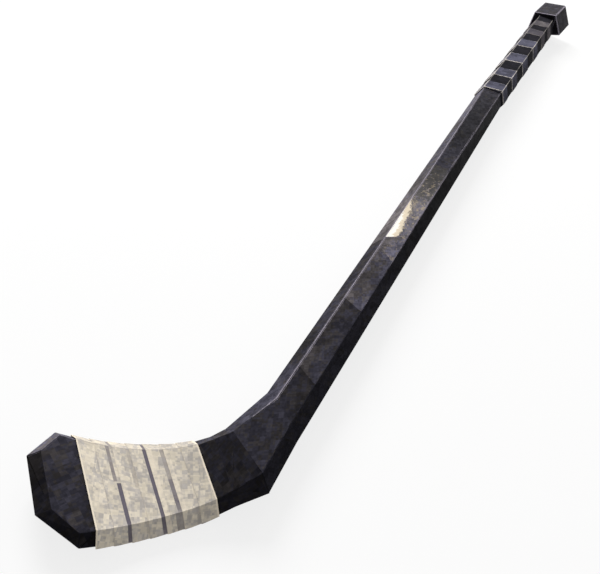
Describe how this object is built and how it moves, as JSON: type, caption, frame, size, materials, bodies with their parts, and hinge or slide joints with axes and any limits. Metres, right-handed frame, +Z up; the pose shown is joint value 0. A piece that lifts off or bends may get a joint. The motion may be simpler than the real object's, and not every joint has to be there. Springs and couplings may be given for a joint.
{
  "type": "hockey stick",
  "caption": "Chunky right-handed hockey stick with a faceted shaft, a short curved blade in cloth tape, a banded cloth grip and a block-shaped end knob.",
  "frame": {"origin": "middle of the bounding box, on the surface the stick lies on", "axes": "+X along the shaft from the blade to the knob, +Y to the side the blade points to, +Z up, out of the front face of the blade and shaft"},
  "size_m": [1.1004, 0.1626, 0.0521],
  "materials": {
    "shaft_composite": "satin charcoal lacquer, worn pale along the edges",
    "neck_composite": "scuffed satin charcoal",
    "skin_composite": "matte black",
    "inner_composite": "bare laminate",
    "hosel_resin": "cast",
    "core_foam": "closed-cell foam",
    "blade_cloth": "worn cream cloth tape",
    "grip_dark_cloth": "near-black cloth tape",
    "grip_light_cloth": "grey-blue cloth tape with frayed cream edges",
    "plug_wood": "planed",
    "knob_rubber": "matte, pale along the edges"
  },
  "bodies": {
    "root": {"shaft_tube": "shaft_composite", "neck_tube": "neck_composite", "joint_coupler": "inner_composite", "hosel_block": "hosel_resin", "blade_front_skin": "skin_composite", "blade_back_skin": "skin_composite", "blade_spar": "inner_composite", "upper_foam_core": "core_foam", "lower_foam_core": "core_foam", "blade_tape": "blade_cloth", "grip_under_wrap": "grip_dark_cloth", "grip_strip": "grip_light_cloth", "butt_plug": "plug_wood", "end_knob": "knob_rubber"}
  },
  "joints": []
}
